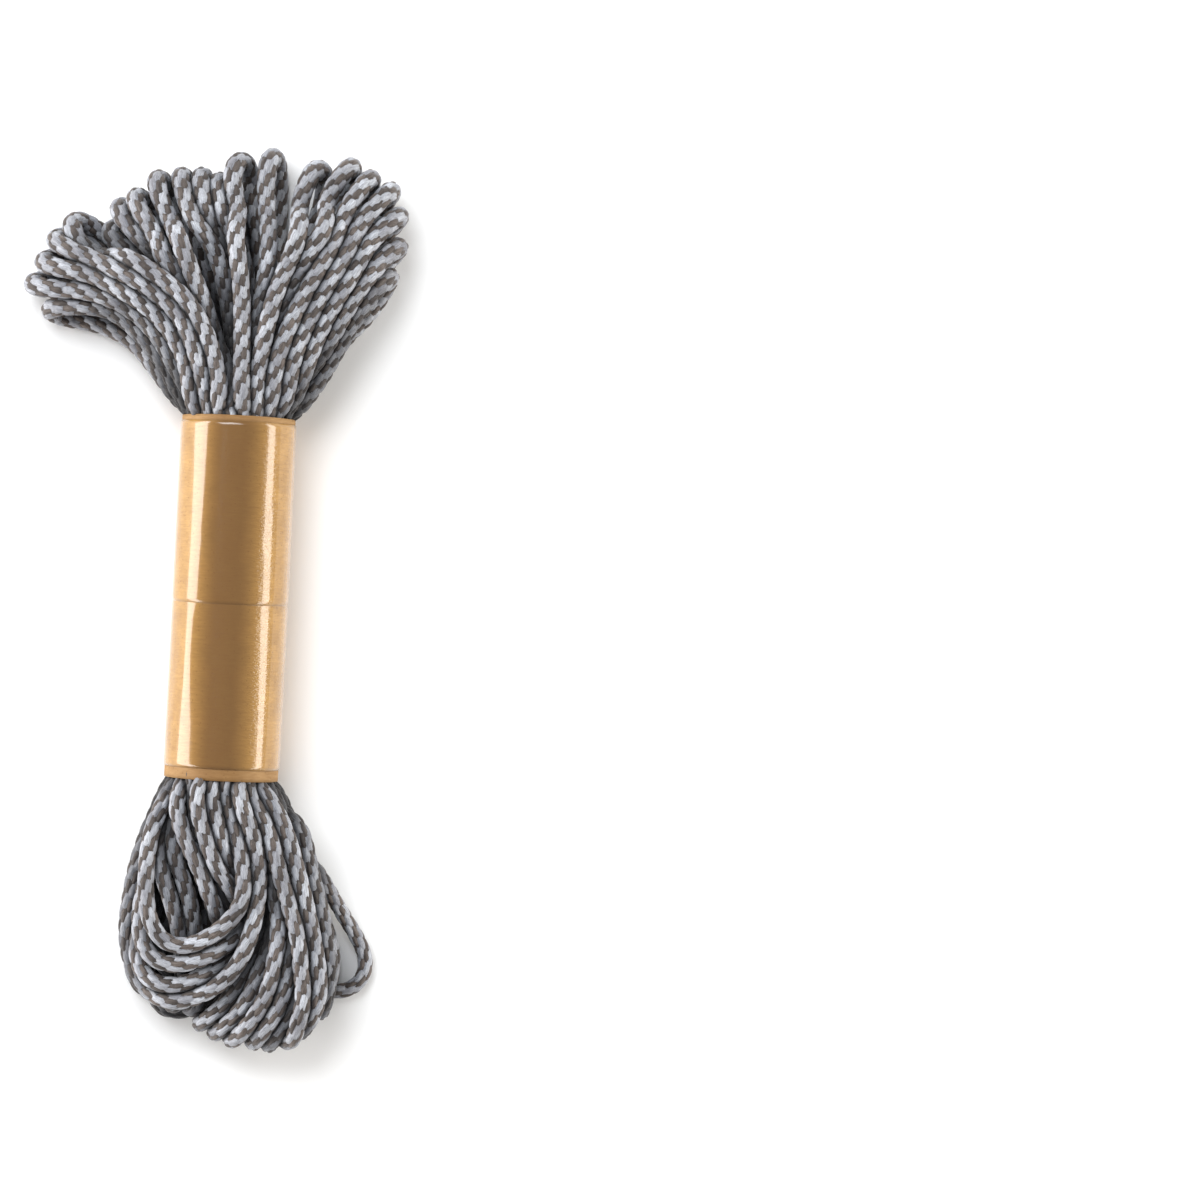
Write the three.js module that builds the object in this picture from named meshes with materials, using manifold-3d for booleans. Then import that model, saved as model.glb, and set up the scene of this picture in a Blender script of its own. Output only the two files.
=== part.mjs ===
// A skein of bakers twine in a kraft paper band closed with two strips of clear tape.
// Millimetres, +Z up. It lies on its back: Y runs up the skein to its fan, X to the right.
// The origin is under the middle of the whole skein, on the surface that it lies on.
import * as THREE from 'three';
import { mergeVertices } from 'three/addons/utils/BufferGeometryUtils.js';
import Module from 'manifold-3d';

const wasm = await Module();
wasm.setup();
const up = new THREE.Vector3(0, 0, 1);

// Driving dimensions. Each inner layer of the waist is worked out from the tape's outside.
const twine = { diameter: 2.15, tubeSides: 8, tubeSteps: 22 };
const waist = {
  x: 1.9, y: 0.3, lean: 2.9,       // the middle of the band, and its lean to the right in degrees
  width: 15.5, depth: 14.6,        // over the tape
  flat: 0.35,                      // how much of the round underside is flattened
  sides: 32,
};
const tape = { thick: 0.3, width: 23.1, apart: 0.3 };
const paper = { thick: 0.8, length: 48, above: 0.8 };   // above: paper that shows over the upper strip
const clearance = 0.3;
const underSurface = { reach: 200, depth: 20 };   // a block that takes in all that lies below
const finest = 0.03;               // slivers finer than this, left by the joins, are closed up
const lobe = {
  sides: 8, steps: 5, square: 2.5,
  tipStations: [0.6, 0.28, 0.06],  // back from the tip, of the radius that the turns fold over at
  flat: 0.12,                      // how much of its underside is flattened on the surface
  start: 1.6,                      // past the band's edge
  startHalf: 1.3, startDeep: 6.1,  // half its width and depth there
  swollenBy: 0.5,                  // the share of its run where it reaches its own width and depth
  splay: 4.4,                      // degrees it turns outwards for each mm across the mouth
  leave: 0.3, arrive: 0.4,         // how straight it runs at its two ends, of its reach
};

// The fan: one row for each lobe of the wound turns, left to right.
// mouth: where it leaves the band, across it. heading: the way the tip points, in degrees
// clockwise from +Y. half: half its width. top: how far its front stands above the surface.
const fanLobes = [
  { mouth: -6.3, x: -21.8, y: 40.4, heading: -96, half: 2.0, top: 7.8 },
  { mouth: -5.6, x: -25.1, y: 42.2, heading: -88, half: 1.8, top: 10.2 },
  { mouth: -4.9, x: -23.2, y: 45.4, heading: -80, half: 1.9, top: 12.0 },
  { mouth: -4.2, x: -21.2, y: 48.4, heading: -70, half: 2.0, top: 12.6 },
  { mouth: -3.5, x: -18.0, y: 50.7, heading: -58, half: 2.1, top: 10.8 },
  { mouth: -2.9, x: -13.7, y: 52.5, heading: -44, half: 1.9, top: 9.8 },
  { mouth: -2.2, x: -11.4, y: 53.9, heading: -36, half: 1.8, top: 10.8 },
  { mouth: -1.5, x: -8.3, y: 56.4, heading: -28, half: 2.0, top: 12.6 },
  { mouth: -0.8, x: -4.8, y: 57.0, heading: -20, half: 1.8, top: 10.4 },
  { mouth: 0.0, x: -1.3, y: 56.9, heading: -11, half: 1.8, top: 9.8 },
  { mouth: 0.7, x: 2.8, y: 59.5, heading: -2, half: 2.2, top: 13.0 },
  { mouth: 1.5, x: 7.2, y: 60.3, heading: 4, half: 2.2, top: 12.8 },
  { mouth: 2.3, x: 12.9, y: 58.5, heading: 16, half: 2.2, top: 12.8 },
  { mouth: 3.1, x: 17.4, y: 58.8, heading: 22, half: 2.1, top: 13.0 },
  { mouth: 3.8, x: 20.4, y: 57.2, heading: 26, half: 1.9, top: 12.2 },
  { mouth: 4.4, x: 22.8, y: 55.7, heading: 30, half: 2.0, top: 12.2 },
  { mouth: 5.0, x: 23.9, y: 52.0, heading: 33, half: 2.3, top: 12.0 },
  { mouth: 5.6, x: 23.2, y: 46.6, heading: 35, half: 2.4, top: 11.4 },
  { mouth: 6.2, x: 21.4, y: 41.0, heading: 36, half: 2.4, top: 10.6 },
];

// The gathered end below the band, left to right, in the same columns.
const tailLobes = [
  { mouth: -6.2, x: -11.2, y: -52.0, heading: 178, half: 2.5, top: 10.8 },
  { mouth: -4.9, x: -7.6, y: -54.6, heading: 174, half: 2.9, top: 12.2 },
  { mouth: -3.4, x: -3.4, y: -57.0, heading: 180, half: 2.7, top: 12.4 },
  { mouth: -1.8, x: 0.4, y: -59.1, heading: 186, half: 2.5, top: 12.6 },
  { mouth: -0.2, x: 4.3, y: -60.0, heading: 192, half: 2.5, top: 13.0 },
  { mouth: 1.6, x: 8.3, y: -60.0, heading: 196, half: 2.4, top: 13.0 },
  { mouth: 3.4, x: 11.8, y: -58.6, heading: 196, half: 2.4, top: 12.8 },
  { mouth: 4.9, x: 13.6, y: -56.4, heading: 192, half: 2.2, top: 12.2 },
  { mouth: 6.0, x: 14.2, y: -53.0, heading: 184, half: 2.0, top: 11.2 },
];

// The one turn that has slipped out of the gathered end: it sinks to the surface and goes back in.
const slippedTurn = [
  [9.6, -29.0, 7.0], [12.0, -33.2, 6.2], [14.2, -37.2, 5.0], [16.4, -41.4, 3.4], [18.4, -45.2, 1.9],
  [19.6, -48.4, 1.1], [19.2, -50.6, 1.1], [17.2, -51.5, 1.2], [14.6, -51.2, 2.2], [12.0, -50.6, 3.6],
];

const halfLength = paper.length / 2;

// The level direction that is this many degrees clockwise from +Y.
function headed(degrees) {
  const angle = THREE.MathUtils.degToRad(degrees);
  return new THREE.Vector3(Math.sin(angle), Math.cos(angle), 0);
}

function manifoldOf(geometry) {
  const bare = geometry.index ? geometry.toNonIndexed() : geometry.clone();
  for (const name of Object.keys(bare.attributes)) if (name !== 'position') bare.deleteAttribute(name);
  const merged = mergeVertices(bare, 1e-4);
  return new wasm.Manifold(new wasm.Mesh({
    numProp: 3,
    vertProperties: new Float32Array(merged.attributes.position.array),
    triVerts: new Uint32Array(merged.index.array),
  }));
}

function geometryOf(solid) {
  const mesh = solid.getMesh();
  const geometry = new THREE.BufferGeometry();
  geometry.setAttribute('position', new THREE.BufferAttribute(new Float32Array(mesh.vertProperties), 3));
  geometry.setIndex([...mesh.triVerts]);
  geometry.computeVertexNormals();
  return geometry;
}

// A closed solid through rounded sections. A station is { at, along, half, deep }:
// its middle, the way the solid runs there, and half its width and depth.
function loft(stations, sides, square) {
  const positions = [];
  const faces = [];
  const rounded = (value) => Math.sign(value) * Math.abs(value) ** (2 / square);
  const outward = 1 / rounded(Math.cos(Math.PI / sides));   // so that its flats reach its full size
  for (const station of stations) {
    const across = new THREE.Vector3().crossVectors(station.along, up).normalize();
    for (let i = 0; i < sides; i++) {
      const angle = (i + 0.5) * 2 * Math.PI / sides;
      const point = station.at.clone()
        .addScaledVector(across, station.half * outward * rounded(Math.cos(angle)))
        .addScaledVector(up, station.deep * outward * rounded(Math.sin(angle)));
      positions.push(...point);
    }
  }
  const last = stations.length - 1;
  positions.push(...stations[0].at, ...stations[last].at);
  const startPole = stations.length * sides;
  const endPole = startPole + 1;
  for (let i = 0; i < sides; i++) {
    const next = (i + 1) % sides;
    for (let k = 0; k < last; k++) {
      const a = k * sides + i;
      const b = k * sides + next;
      faces.push(a, a + sides, b, b, a + sides, b + sides);
    }
    faces.push(startPole, i, next, endPole, last * sides + next, last * sides + i);
  }
  const geometry = new THREE.BufferGeometry();
  geometry.setAttribute('position', new THREE.Float32BufferAttribute(positions, 3));
  geometry.setIndex(faces);
  return geometry;
}

// The waist's own frame: its axis leans in the XY plane, and its flat underside stays level.
const waistAxis = headed(waist.lean);
const waistAcross = new THREE.Vector3(waistAxis.y, -waistAxis.x, 0);
const waistHeight = waist.depth / 2 + waist.flat / 2;
const waistMiddle = new THREE.Vector3(waist.x, waist.y, waistHeight - waist.flat);
const onWaist = (across, along) =>
  waistMiddle.clone().addScaledVector(waistAcross, across).addScaledVector(waistAxis, along);

// The outline of the waist, drawn in by inset, as an oval with a level underside.
function waistOutline(inset, Kind) {
  const outline = new Kind();
  const half = waist.width / 2 - inset;
  const high = waistHeight - inset;
  for (let i = 0; i < waist.sides; i++) {
    const angle = (i + 0.5) * 2 * Math.PI / waist.sides;
    const y = Math.max(high * Math.sin(angle), waist.flat - waistHeight + inset);
    if (i) outline.lineTo(half * Math.cos(angle), y);
    else outline.moveTo(half * Math.cos(angle), y);
  }
  outline.closePath();
  return outline;
}

// A sleeve round the waist from one place along it to another.
function sleeve(inset, thick, from, to) {
  const outline = waistOutline(inset, THREE.Shape);
  outline.holes.push(waistOutline(inset + thick, THREE.Path));
  const geometry = new THREE.ExtrudeGeometry(outline, { depth: to - from, bevelEnabled: false });
  geometry.translate(0, 0, from);
  return geometry;
}

// The turns inside the band, which swell where they leave it and then hide among the lobes.
const swell = [
  { past: clearance, wider: 0, deeper: 0 },
  { past: 1.4, wider: 1.2, deeper: 0.4 },
  { past: 4.5, wider: 1.0, deeper: -0.6 },
  { past: 8.0, wider: -1.5, deeper: -2.5 },
];

function core() {
  const inset = tape.thick + clearance + paper.thick + clearance;
  const half = waist.width / 2 - inset;
  const deep = waistHeight - waist.flat / 2 - inset;
  const middle = waistMiddle.z + waist.flat / 2;
  const station = (side, row) => ({
    at: onWaist(0, side * (halfLength + row.past)).setZ(middle),
    along: waistAxis,
    half: half + row.wider,
    deep: deep + row.deeper,
  });
  const below = swell.map((row) => station(-1, row)).reverse();
  const above = swell.map((row) => station(1, row));
  return loft([...below, ...above], waist.sides, 2);
}

// How much of its full size a round end has at this share of its radius back from the tip.
const roundOff = (share) => Math.sqrt(1 - (1 - Math.min(share, 1)) ** 2);

// One lobe of turns: it fans out of the band and folds over in a half round at its tip.
// side is 1 above the band and -1 below it.
function lobeSolid(row, side) {
  const leave = headed(waist.lean + (side < 0 ? 180 : 0) + side * lobe.splay * row.mouth);
  const start = onWaist(row.mouth, side * (halfLength + lobe.start));
  const heading = headed(row.heading);
  const deep = (row.top + lobe.flat) / 2;
  const tip = new THREE.Vector3(row.x, row.y, row.top - deep);
  const fold = tip.clone().addScaledVector(heading, -deep);
  const reach = start.distanceTo(fold);
  const path = new THREE.CubicBezierCurve3(
    start, start.clone().addScaledVector(leave, reach * lobe.leave),
    fold.clone().addScaledVector(heading, -reach * lobe.arrive), fold);
  const stations = [];
  for (let i = 0; i <= lobe.steps; i++) {
    const t = i / lobe.steps;
    const grown = THREE.MathUtils.smoothstep(t, 0, lobe.swollenBy);
    stations.push({
      at: path.getPoint(t),
      along: path.getTangent(t),
      half: THREE.MathUtils.lerp(lobe.startHalf, row.half, grown),
      deep: THREE.MathUtils.lerp(lobe.startDeep, deep, grown),
    });
  }
  for (const share of lobe.tipStations) {
    const back = share * deep;
    stations.push({
      at: tip.clone().addScaledVector(heading, -back),
      along: heading,
      half: row.half * roundOff(back / row.half),
      deep: deep * roundOff(share),
    });
  }
  return loft(stations, lobe.sides, lobe.square);
}

function slippedTurnSolid() {
  const path = new THREE.CatmullRomCurve3(slippedTurn.map((point) => new THREE.Vector3(...point)));
  const section = new THREE.Shape();
  for (let i = 0; i < twine.tubeSides; i++) {
    const angle = (i + 0.5) * 2 * Math.PI / twine.tubeSides;
    const x = twine.diameter / 2 * Math.cos(angle);
    const y = twine.diameter / 2 * Math.sin(angle);
    if (i) section.lineTo(x, y);
    else section.moveTo(x, y);
  }
  section.closePath();
  return new THREE.ExtrudeGeometry(section, { steps: twine.tubeSteps, extrudePath: path });
}

function hankSolid() {
  let hank = manifoldOf(core());
  for (const row of fanLobes) hank = hank.add(manifoldOf(lobeSolid(row, 1)));
  for (const row of tailLobes) hank = hank.add(manifoldOf(lobeSolid(row, -1)));
  hank = hank.add(manifoldOf(slippedTurnSolid()));
  // What would lie under the surface is flattened against it.
  const { reach, depth } = underSurface;
  const below = new THREE.BoxGeometry(reach, reach, depth).translate(0, 0, -depth / 2);
  return geometryOf(hank.subtract(manifoldOf(below)).simplify(finest));
}

const materials = {
  twine: new THREE.MeshStandardMaterial({ color: 0x9b938d, roughness: 0.9, metalness: 0 }),
  paper: new THREE.MeshStandardMaterial({ color: 0xc0935a, roughness: 0.85, metalness: 0 }),
  tape: new THREE.MeshStandardMaterial({ color: 0xc89c62, roughness: 0.15, metalness: 0 }),
};

function named(name, geometry, material) {
  const mesh = new THREE.Mesh(geometry, material);
  mesh.name = name;
  return mesh;
}

const skein = new THREE.Group();
skein.add(named('hank', hankSolid(), materials.twine));

// The sleeves are drawn across XY and run along Z. This group turns them onto the waist.
const wrapping = new THREE.Group();
wrapping.position.copy(waistMiddle);
wrapping.quaternion.setFromRotationMatrix(
  new THREE.Matrix4().makeBasis(waistAcross.clone().negate(), up, waistAxis));
skein.add(wrapping);

const paperInset = tape.thick + clearance;
wrapping.add(named('band', sleeve(paperInset, paper.thick, -halfLength, halfLength), materials.paper));

const upperTop = halfLength - paper.above;
const upperBottom = upperTop - tape.width;
const lowerTop = upperBottom - tape.apart;
const lowerBottom = lowerTop - tape.width;
wrapping.add(named('tape_upper', sleeve(0, tape.thick, upperBottom, upperTop), materials.tape));
wrapping.add(named('tape_lower', sleeve(0, tape.thick, lowerBottom, lowerTop), materials.tape));

export default skein;
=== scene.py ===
# A skein of braided twine in a taped paper band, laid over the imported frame.
# The frame is in metres; everything here is worked out in millimetres and scaled when a mesh is made.
import math

import bpy
import numpy as np
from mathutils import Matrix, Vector


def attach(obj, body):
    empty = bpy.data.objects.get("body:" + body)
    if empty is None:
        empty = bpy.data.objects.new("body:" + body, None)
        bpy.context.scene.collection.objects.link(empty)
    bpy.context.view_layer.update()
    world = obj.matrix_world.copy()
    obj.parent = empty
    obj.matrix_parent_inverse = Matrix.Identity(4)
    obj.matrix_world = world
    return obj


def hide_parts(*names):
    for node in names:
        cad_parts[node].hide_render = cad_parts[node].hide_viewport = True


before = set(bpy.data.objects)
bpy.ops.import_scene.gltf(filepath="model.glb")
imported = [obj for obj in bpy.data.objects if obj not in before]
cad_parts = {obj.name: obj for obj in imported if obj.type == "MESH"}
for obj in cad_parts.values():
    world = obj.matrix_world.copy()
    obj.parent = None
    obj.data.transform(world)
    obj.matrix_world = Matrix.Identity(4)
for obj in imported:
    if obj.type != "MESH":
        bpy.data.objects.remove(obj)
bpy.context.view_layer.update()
scene = bpy.context.scene
mm = 0.001
print("frame loaded:", sorted(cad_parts))

# The camera looks straight down, with the fan at the top.
view = {"middleX": 51.2, "middleY": 0.0, "span": 160.0, "height": 1500.0, "level": 7.0}


def placeCamera():
    lens = bpy.data.cameras.new("overhead")
    lens.sensor_width = 36.0
    lens.lens = 36.0 * (view["height"] - view["level"]) / view["span"]
    lens.clip_start, lens.clip_end = 0.01, 10.0
    camera = bpy.data.objects.new("overhead", lens)
    camera.location = (view["middleX"] * mm, view["middleY"] * mm, view["height"] * mm)
    scene.collection.objects.link(camera)
    scene.camera = camera


placeCamera()

twine = {
    "diameter": 2.13,
    "splay": 4.4,  # degrees a strand turns outwards for each millimetre from the middle of the band's mouth
    "step": 1.0,  # spacing of the points that are settled
    "stepInside": 3.0,
    "tailEnd": 20.0,  # how far into the band the twine's two ends are
    "rounds": 360,
    "quickRounds": 60,
    "touching": 0.985,  # diameters between two strands that lie together
    "ease": 2.2,  # the last straight stretch before a fold
    "fine": 0.272,  # spacing of the rings in sight
    "coarse": 2.4,  # and inside the band
    "hiddenFrom": 1.5,  # how far inside the band's mouth that starts
    "sides": 32,
    "pieces": 5,
    "cutWithin": 14.0,  # the cuts between them are this near the middle of the band
    "shade": 8.0,  # how far off a strand still shades another
    "dimming": 2.4,
    "spared": 0.36,  # the share of the sky that a strand at the edge may lose and still be bright
    "crease": 0.38,  # diameters off the strand beside it at which a surface is no longer in its shade
    "thick": [0.95, 1.1, 1.04, 0.93],  # inside, in the fan, in the tail, in the slipped turn
    "atFolds": [0.0, 0.18, 0.0, 0.0],
    "blend": 3.0,  # how far a change of thickness is spread
    "drawn": [1.0, 1.0, 1.18, 1.1],  # how much the braid is pulled out there
}
# The opening of the band, which the strands pass through.
wrap = {"x": 1.9, "y": 0.3, "lean": 2.9, "length": 48.0, "halfWidth": 7.35, "halfDepth": 7.0, "middle": 7.2}


def headed(degrees):
    turn = math.radians(degrees)
    return np.array([math.sin(turn), math.cos(turn), 0.0])


axis = headed(wrap["lean"])
across = np.array([axis[1], -axis[0], 0.0])
centre = np.array([wrap["x"], wrap["y"], 0.0])
radius = twine["diameter"] / 2

# How the photo's pixels lie on the floor: the pixel over the frame's origin, and pixels to a millimetre.
plan = {"across": 216, "down": 600, "scale": 7.5}


def placed(px, py):
    return round((px - plan["across"]) / plan["scale"], 1), round((plan["down"] - py) / plan["scale"], 1)


def strand(*points):
    return [(*placed(px, py), z) for px, py, z in points]


# One row for each loop of the fan, in the order it was wound. up: the leg that comes first. u, z: place of
# the front leg in the mouth, in millimetres. x, y, heading: the tip of the fold. width: across the fold.
# roll: how far it leans left. front: the line of the front leg. The tip and the line are pixels read
# from the photo, and the third number of each point is its height in millimetres.
fan = {
    "L1": {"up": "back", "u": -6.4, "z": 8.0, "x": 44, "y": 303, "heading": -82,
           "width": 5.5, "roll": -15, "front": [
               (179, 390, 8.6), (162, 360, 9), (147, 342, 8.7), (134, 329, 8.3), (118, 315, 7.9),
               (98, 307, 7.4)]},
    "R1": {"up": "front", "u": 3.0, "z": 12.8, "x": 311, "y": 161, "heading": 12,
           "width": 8, "roll": 18, "front": [
               (259, 394, 13), (264, 352, 13.1), (273, 320, 13), (283, 288, 12.9), (293, 259, 12.8),
               (300, 225, 12.7)]},
    "L2": {"up": "back", "u": -6.0, "z": 9.9, "x": 26, "y": 288, "heading": -88,
           "width": 6.4, "roll": 12, "front": [
               (187, 387, 10.3), (172, 358, 10.7), (156, 334, 10.5), (134, 313, 10), (110, 299, 9.4),
               (84, 292, 8.6)]},
    "C1": {"up": "front", "u": 1.2, "z": 13.2, "x": 232, "y": 155, "heading": -2,
           "width": 8, "roll": 18, "front": [
               (244, 385, 13.3), (244, 335, 13.2), (243, 293, 13), (240, 262, 12.9), (237, 236, 12.8)]},
    "M5": {"up": "back", "u": -1.0, "z": 9.0, "x": 195, "y": 170, "heading": -18,
           "width": 8, "roll": 8, "front": [
               (243, 368, 7.6), (240, 320, 7.8), (235, 275, 8.4), (227, 248, 9)]},
    "M3": {"up": "front", "u": -0.6, "z": 13.2, "x": 150, "y": 176, "heading": -26,
           "width": 8, "roll": 12, "front": [
               (223, 388, 11.4), (216, 364, 11.4), (209, 336, 11.4), (202, 308, 11.6), (195, 281, 12.2),
               (187, 255, 12.5), (178, 236, 12.5)]},
    "M2": {"up": "back", "u": -1.4, "z": 11.0, "x": 128, "y": 195, "heading": -34,
           "width": 8, "roll": 12, "front": [
               (214, 376, 11), (200, 326, 11.2), (188, 295, 11.2), (174, 272, 11.2), (159, 248, 11.1)]},
    "L5": {"up": "front", "u": -2.1, "z": 12.9, "x": 61, "y": 226, "heading": -50,
           "width": 7, "roll": 24, "front": [
               (219, 380, 13), (213, 355, 13.1), (205, 325, 13.1), (192, 305, 12.9), (174, 290, 12.7),
               (152, 277, 12.4), (130, 261, 12.1)]},
    "L3": {"up": "back", "u": -5.0, "z": 11.4, "x": 37, "y": 266, "heading": -82,
           "width": 8, "roll": 12, "front": [
               (195, 384, 11.7), (184, 354, 12), (168, 328, 11.9), (150, 309, 11.6), (126, 293, 11),
               (102, 281, 10.4)]},
    "L4": {"up": "front", "u": -3.6, "z": 12.4, "x": 48, "y": 243, "heading": -72,
           "width": 8, "roll": 12, "front": [
               (206, 382, 12.6), (198, 354, 12.8), (187, 328, 12.8), (170, 302, 12.5), (146, 284, 12.1),
               (120, 269, 11.6)]},
    "L6": {"up": "front", "u": -4.2, "z": 9.4, "x": 100, "y": 232, "heading": -58,
           "width": 4.6, "roll": 12, "front": [
               (200, 380, 8.4), (186, 335, 7.4), (168, 298, 6.6), (146, 268, 6)]},
    "M1": {"up": "front", "u": -3.0, "z": 10.3, "x": 110, "y": 206, "heading": -44,
           "width": 7, "roll": 14, "front": [
               (208, 378, 9.8), (193, 325, 9.4), (178, 290, 9.2), (163, 260, 9.2)]},
    "M4": {"up": "front", "u": 0.2, "z": 11.1, "x": 175, "y": 172, "heading": -24,
           "width": 8, "roll": 8, "front": [
               (238, 378, 9.6), (235, 340, 9.2), (231, 314, 9.2), (228, 292, 9.4), (222, 270, 9.6),
               (215, 249, 9.9), (205, 226, 10.2)]},
    "M6": {"up": "front", "u": 1.0, "z": 9.0, "x": 214, "y": 175, "heading": -12,
           "width": 8, "roll": 8, "front": [
               (247, 365, 9.4), (248, 312, 9.4), (243, 262, 9.8)]},
    "C2": {"up": "front", "u": 2.0, "z": 10.8, "x": 267, "y": 151, "heading": 0,
           "width": 7, "roll": 12, "front": [
               (250, 385, 11.4), (255, 345, 11.6), (260, 315, 11.8), (266, 283, 12), (270, 245, 12.1)]},
    "R2": {"up": "front", "u": 3.5, "z": 9.8, "x": 350, "y": 160, "heading": 27,
           "width": 8, "roll": 8, "front": [
               (268, 388, 11.4), (274, 345, 11.8), (285, 309, 12.2), (300, 276, 12.3), (313, 250, 12.3),
               (327, 225, 12.3)]},
    "R7": {"up": "front", "u": 6.6, "z": 7.4, "x": 393, "y": 270, "heading": 40,
           "width": 7.4, "roll": 3, "front": [
               (311, 388, 8.2), (328, 362, 8.6), (347, 334, 8.8)]},
    "R3": {"up": "front", "u": 4.5, "z": 11.8, "x": 371, "y": 171, "heading": 30,
           "width": 9, "roll": 6, "front": [
               (275, 392, 12.4), (282, 362, 12.6), (291, 331, 12.7), (303, 301, 12.6), (316, 276, 12.5),
               (334, 250, 12.3)]},
    "R6": {"up": "front", "u": 5.2, "z": 8.8, "x": 402, "y": 240, "heading": 42,
           "width": 8.6, "roll": 3, "front": [
               (304, 380, 9.8), (320, 352, 10.4), (338, 323, 10.6), (356, 296, 10.6)]},
    "R4": {"up": "front", "u": 5.6, "z": 10.3, "x": 394, "y": 184, "heading": 38,
           "width": 9, "roll": 4, "front": [
               (284, 394, 11.8), (292, 373, 12), (302, 341, 12.2), (316, 310, 12.2), (330, 284, 12.1),
               (347, 256, 12)]},
    "R5": {"up": "front", "u": 6.2, "z": 9.6, "x": 402, "y": 210, "heading": 42,
           "width": 9, "roll": 3, "front": [
               (299, 376, 11), (311, 345, 11.6), (326, 315, 11.7), (343, 288, 11.6), (361, 261, 11.5)]},
}


def fold(x, y, heading, width, roll, middle, front=()):
    return {"x": x, "y": y, "heading": heading, "width": width, "roll": roll, "middle": middle,
            "front": front}


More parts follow.
